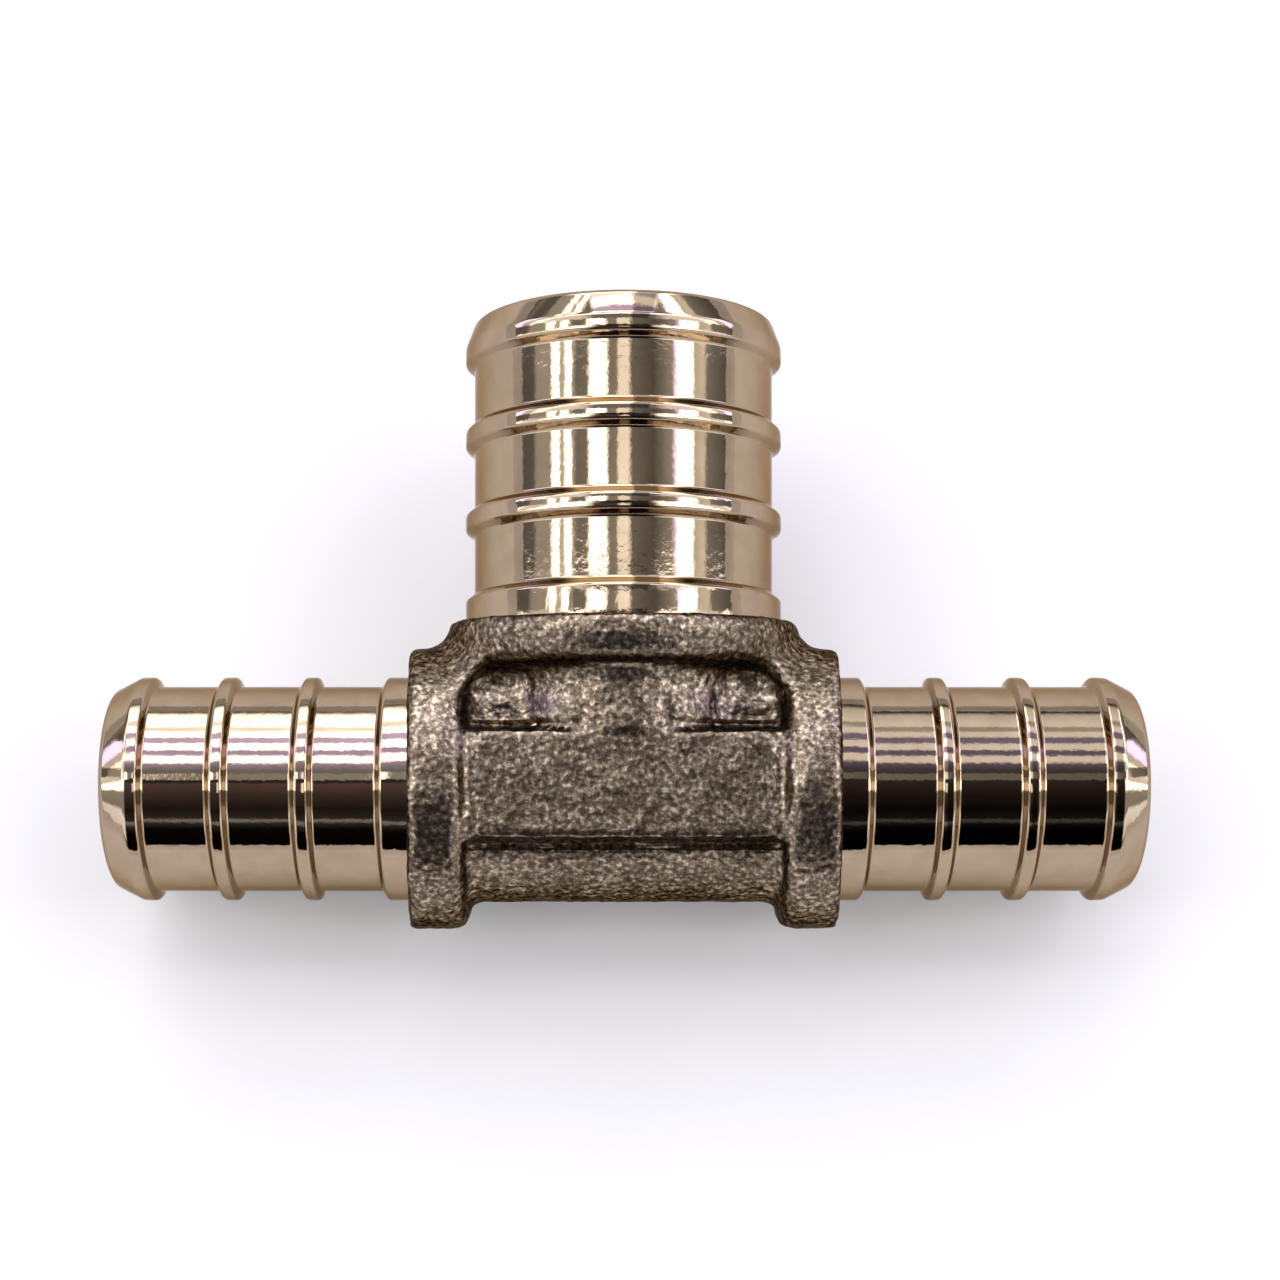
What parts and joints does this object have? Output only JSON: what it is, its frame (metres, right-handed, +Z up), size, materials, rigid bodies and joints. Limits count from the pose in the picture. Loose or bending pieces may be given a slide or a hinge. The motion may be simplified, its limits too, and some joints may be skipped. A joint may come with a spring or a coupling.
{
  "type": "reducing crimp tee for pex pipe",
  "caption": "One-piece brass reducing tee for crimped PEX pipe: two barbed run spigots in line, a larger barbed branch spigot square to them, and a cast body with rims and a flat pad.",
  "frame": {"origin": "the middle of the tee's footprint, on the flat surface on which it lies", "axes": "+X along the run; +Z up from the flat surface on which the tee lies; the branch leaves in the YZ plane, between +Y and +Z, 13.4 degrees above the surface, as it comes to rest on its three rims"},
  "size_m": [0.0546, 0.0338, 0.0214],
  "materials": {
    "brass": "machined bright on the spigots, rough as cast on the body"
  },
  "bodies": {
    "root": {"tee_fitting": "brass"}
  },
  "joints": []
}
